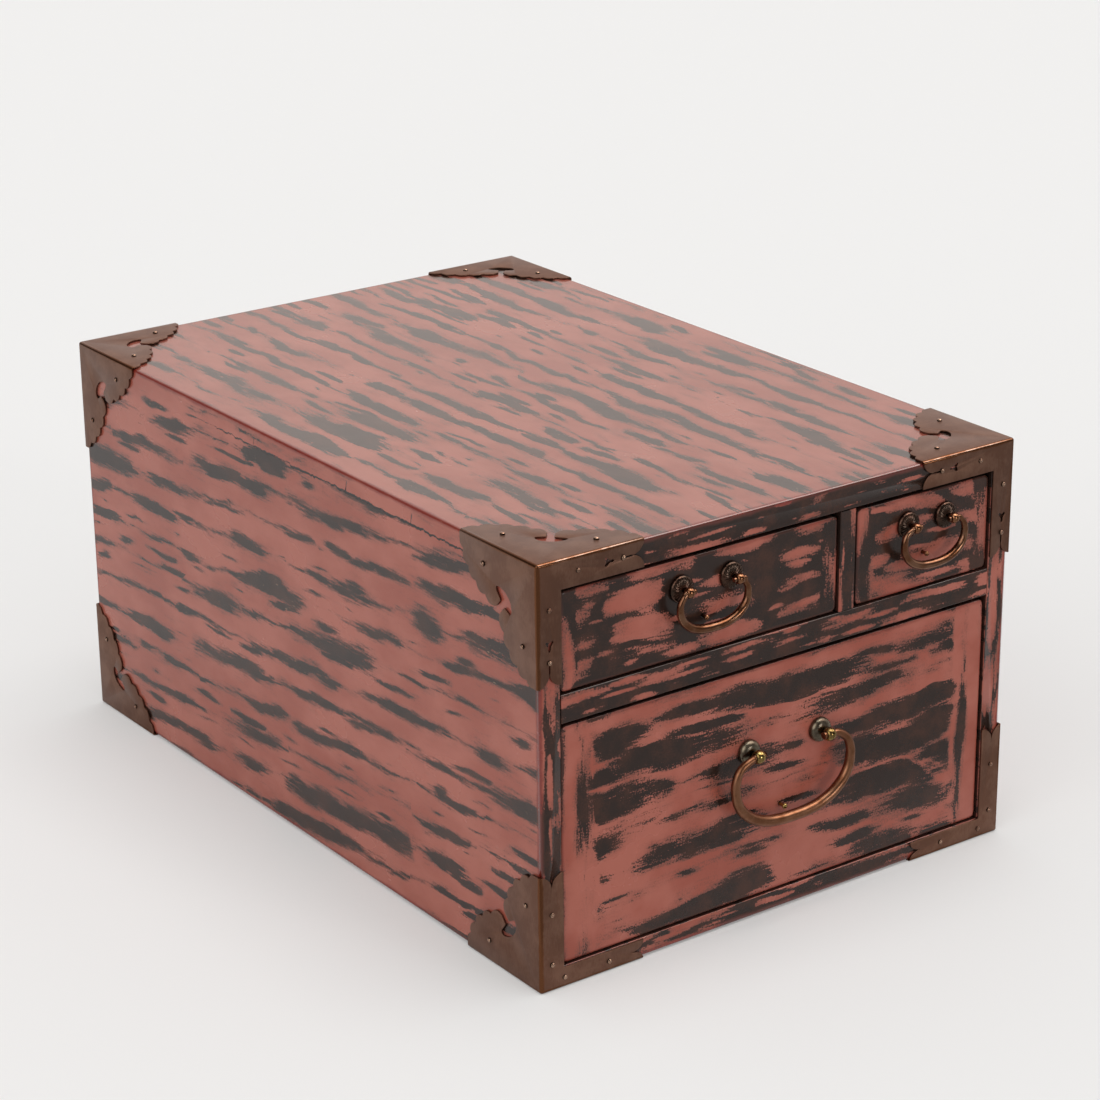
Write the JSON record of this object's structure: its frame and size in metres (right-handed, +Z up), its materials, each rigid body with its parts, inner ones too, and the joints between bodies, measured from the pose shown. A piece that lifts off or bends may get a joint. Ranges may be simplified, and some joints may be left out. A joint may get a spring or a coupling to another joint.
{
  "type": "table top tansu",
  "caption": "Small lacquered wooden chest with two drawers side by side over a deep drawer, bail handles and scalloped metal corner fittings.",
  "frame": {"origin": "under the middle of the whole chest, handles included, on the surface it stands on", "axes": "+X to the right seen from the front, +Y from the drawer fronts to the back, +Z up"},
  "size_m": [0.2428, 0.3642, 0.1787],
  "materials": {
    "red_over_black_lacquer": "semi-gloss lacquer, red rubbed through to black in streaks",
    "plain_inner_wood": "planed, unfinished",
    "patinated_copper": "brown patina with bright folds",
    "dark_bronze": "dark patina",
    "glossy_bronze": "polished by use"
  },
  "bodies": {
    "case": {"left_side_board": "red_over_black_lacquer", "right_side_board": "red_over_black_lacquer", "top_board": "red_over_black_lacquer", "bottom_board": "red_over_black_lacquer", "back_board": "red_over_black_lacquer", "middle_rail": "red_over_black_lacquer", "partition": "red_over_black_lacquer", "dust_board": "plain_inner_wood", "front_upper_left_fitting": "patinated_copper", "front_upper_right_fitting": "patinated_copper", "front_lower_left_fitting": "patinated_copper", "front_lower_right_fitting": "patinated_copper", "back_upper_left_fitting": "patinated_copper", "back_upper_right_fitting": "patinated_copper", "back_lower_left_fitting": "patinated_copper", "back_lower_right_fitting": "patinated_copper"},
    "left_drawer": {"left_drawer_front": "red_over_black_lacquer", "left_drawer_left_wall": "plain_inner_wood", "left_drawer_right_wall": "plain_inner_wood", "left_drawer_back": "plain_inner_wood", "left_drawer_bottom": "plain_inner_wood", "left_handle_left_washer": "dark_bronze", "left_handle_right_washer": "dark_bronze", "left_handle_left_post": "dark_bronze", "left_handle_right_post": "dark_bronze", "left_handle_stud": "dark_bronze"},
    "left_grip": {"left_bail": "glossy_bronze"},
    "right_drawer": {"right_drawer_front": "red_over_black_lacquer", "right_drawer_left_wall": "plain_inner_wood", "right_drawer_right_wall": "plain_inner_wood", "right_drawer_back": "plain_inner_wood", "right_drawer_bottom": "plain_inner_wood", "right_handle_left_washer": "dark_bronze", "right_handle_right_washer": "dark_bronze", "right_handle_left_post": "dark_bronze", "right_handle_right_post": "dark_bronze", "right_handle_stud": "dark_bronze"},
    "right_grip": {"right_bail": "glossy_bronze"},
    "bottom_drawer": {"bottom_drawer_front": "red_over_black_lacquer", "bottom_drawer_left_wall": "plain_inner_wood", "bottom_drawer_right_wall": "plain_inner_wood", "bottom_drawer_back": "plain_inner_wood", "bottom_drawer_bottom": "plain_inner_wood", "bottom_handle_left_washer": "dark_bronze", "bottom_handle_right_washer": "dark_bronze", "bottom_handle_left_post": "dark_bronze", "bottom_handle_right_post": "dark_bronze", "bottom_handle_stud": "dark_bronze"},
    "bottom_grip": {"bottom_bail": "glossy_bronze"}
  },
  "joints": [
    {"name": "left_drawer_slide", "type": "slide", "parent": "case", "child": "left_drawer", "axis": [0, -1, 0], "range_m": [0, 0.295]},
    {"name": "right_drawer_slide", "type": "slide", "parent": "case", "child": "right_drawer", "axis": [0, -1, 0], "range_m": [0, 0.295]},
    {"name": "bottom_drawer_slide", "type": "slide", "parent": "case", "child": "bottom_drawer", "axis": [0, -1, 0], "range_m": [0, 0.295]},
    {"name": "left_bail_swing", "type": "hinge", "parent": "left_drawer", "child": "left_grip", "pos_m": [-0.03945, -0.1781, 0.152], "axis": [-1, 0, 0], "range_deg": [0, 180]},
    {"name": "right_bail_swing", "type": "hinge", "parent": "right_drawer", "child": "right_grip", "pos_m": [0.07435, -0.1781, 0.152], "axis": [-1, 0, 0], "range_deg": [0, 180]},
    {"name": "bottom_bail_swing", "type": "hinge", "parent": "bottom_drawer", "child": "bottom_grip", "pos_m": [0.0012, -0.1793, 0.0744], "axis": [-1, 0, 0], "range_deg": [0, 180]}
  ]
}
